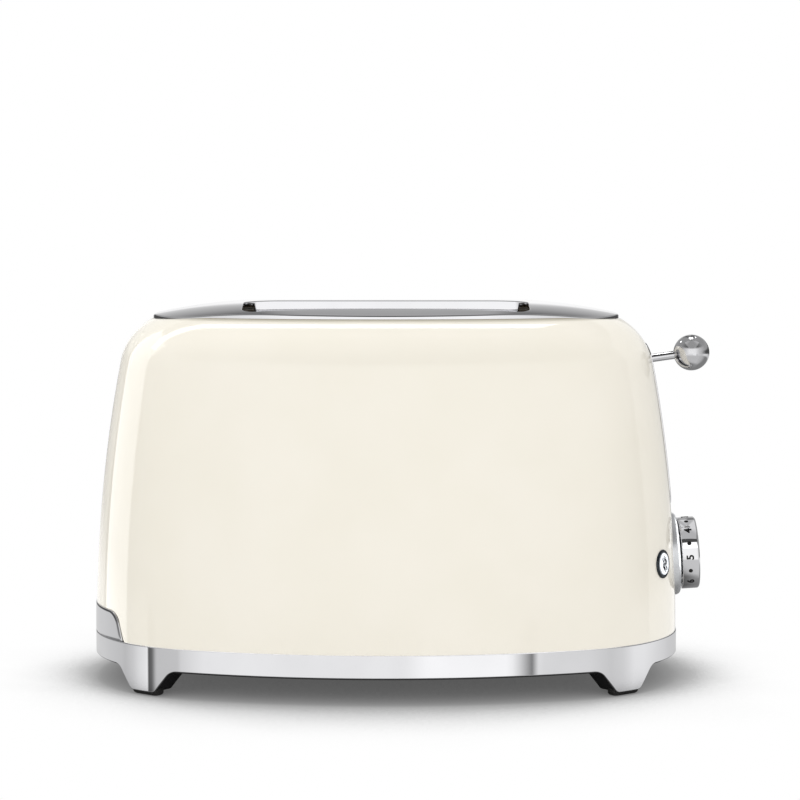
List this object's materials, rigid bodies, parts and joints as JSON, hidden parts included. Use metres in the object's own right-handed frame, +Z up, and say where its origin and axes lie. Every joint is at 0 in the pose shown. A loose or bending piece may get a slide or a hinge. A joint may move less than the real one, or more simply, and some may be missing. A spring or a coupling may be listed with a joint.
{
  "type": "pop-up toaster",
  "caption": "Rounded pop-up toaster with an enamelled shell, chrome crown and footed base band, ball-ended lever, browning dial, press buttons and a pull-out crumb tray.",
  "frame": {"origin": "on the table under the middle of the body, level with the underside of the foot pads", "axes": "+Z up, +X towards the lever and dial end, -Y is the front long side"},
  "size_m": [0.3239, 0.195, 0.198],
  "materials": {
    "cream_enamel": "gloss enamel on pressed steel",
    "polished_chrome": "polished chrome plate",
    "satin_silver": "satin silver",
    "dark_bezel": "dark gloss moulding",
    "black_plastic": "matt moulded black",
    "rubber_pad": "soft matt rubber",
    "plated_steel": "zinc plated sheet",
    "steel_wire": "drawn steel wire",
    "mica_board": "layered mica",
    "heating_ribbon": "dull resistance ribbon",
    "copper_winding": "lacquered copper wire",
    "circuit_board": "green circuit board",
    "white_plastic": "white ceramic-filled plastic"
  },
  "bodies": {
    "casing": {"body_shell": "cream_enamel", "top_crown": "polished_chrome", "base_band": "polished_chrome", "lever_trim": "polished_chrome", "dial_collar": "satin_silver", "button_bezel_front": "dark_bezel", "button_bezel_rear": "dark_bezel", "dial_light_ring": "dark_bezel", "base_tray": "black_plastic", "mains_switch": "black_plastic", "dial_sensor": "black_plastic", "cancel_switch": "black_plastic", "board_brace": "black_plastic", "cord_gland": "black_plastic", "foot_pads": "rubber_pad", "end_plate_left": "plated_steel", "end_plate_right": "plated_steel", "heat_shield_front": "plated_steel", "heat_shield_rear": "plated_steel", "rod_bracket": "plated_steel", "guide_rod": "plated_steel", "magnet_core": "plated_steel", "base_screws": "plated_steel", "return_spring": "steel_wire", "element_board_front": "mica_board", "element_board_middle": "mica_board", "element_board_rear": "mica_board", "element_ribbon_front": "heating_ribbon", "element_ribbon_middle": "heating_ribbon", "element_ribbon_rear": "heating_ribbon", "magnet_coil": "copper_winding", "control_board": "circuit_board", "button_board_front": "circuit_board", "button_board_rear": "circuit_board", "terminal_block": "white_plastic"},
    "lift": {"bread_rack_front": "steel_wire", "bread_rack_rear": "steel_wire", "lift_carriage": "plated_steel", "lift_slider": "black_plastic", "lever_stem": "polished_chrome", "lever_ball": "polished_chrome", "keeper_plate": "plated_steel"},
    "guide_front_outer": {"bread_guide_front_outer": "steel_wire"},
    "guide_front_inner": {"bread_guide_front_inner": "steel_wire"},
    "guide_rear_inner": {"bread_guide_rear_inner": "steel_wire"},
    "guide_rear_outer": {"bread_guide_rear_outer": "steel_wire"},
    "dial": {"browning_dial": "polished_chrome"},
    "cancel": {"cancel_button": "satin_silver"},
    "button_front": {"side_button_front": "satin_silver"},
    "button_rear": {"side_button_rear": "satin_silver"},
    "tray": {"crumb_tray": "plated_steel", "tray_panel": "polished_chrome"}
  },
  "joints": [
    {"name": "lift_slide", "type": "slide", "parent": "casing", "child": "lift", "axis": [0, 0, -1], "range_m": [0, 0.066], "stiffness_N_per_m": 80, "springref_m": -0.08, "deforming": ["return_spring"]},
    {"name": "guide_front_outer_swing", "type": "hinge", "parent": "casing", "child": "guide_front_outer", "pos_m": [0, -0.043, 0.04], "axis": [1, 0, 0], "range_deg": [-4.6, 0]},
    {"name": "guide_front_inner_swing", "type": "hinge", "parent": "casing", "child": "guide_front_inner", "pos_m": [0, -0.011, 0.04], "axis": [1, 0, 0], "range_deg": [0, 4.6]},
    {"name": "guide_rear_inner_swing", "type": "hinge", "parent": "casing", "child": "guide_rear_inner", "pos_m": [0, 0.011, 0.04], "axis": [1, 0, 0], "range_deg": [-4.6, 0]},
    {"name": "guide_rear_outer_swing", "type": "hinge", "parent": "casing", "child": "guide_rear_outer", "pos_m": [0, 0.043, 0.04], "axis": [1, 0, 0], "range_deg": [0, 4.6]},
    {"name": "dial_turn", "type": "hinge", "parent": "casing", "child": "dial", "pos_m": [0.15184, 0, 0.0632], "axis": [0.9979, 0, 0.0645], "range_deg": [-135, 90]},
    {"name": "cancel_press", "type": "slide", "parent": "dial", "child": "cancel", "axis": [-0.9979, 0, -0.0645], "range_m": [0, 0.0015], "stiffness_N_per_m": 350, "springref_m": -0.0015},
    {"name": "button_front_press", "type": "slide", "parent": "casing", "child": "button_front", "axis": [-0.8761, 0.4776, -0.0659], "range_m": [0, 0.0012], "stiffness_N_per_m": 350, "springref_m": -0.0015},
    {"name": "button_rear_press", "type": "slide", "parent": "casing", "child": "button_rear", "axis": [-0.8761, -0.4776, -0.0659], "range_m": [0, 0.0012], "stiffness_N_per_m": 350, "springref_m": -0.0015},
    {"name": "crumb_tray_slide", "type": "slide", "parent": "casing", "child": "tray", "axis": [-1, 0, 0], "range_m": [0, 0.22]}
  ],
  "couplings": [
    {"joint": "guide_front_outer_swing", "follows": "lift_slide", "rad_per_m": -1.19},
    {"joint": "guide_front_inner_swing", "follows": "lift_slide", "rad_per_m": 1.19},
    {"joint": "guide_rear_inner_swing", "follows": "lift_slide", "rad_per_m": -1.19},
    {"joint": "guide_rear_outer_swing", "follows": "lift_slide", "rad_per_m": 1.19}
  ]
}
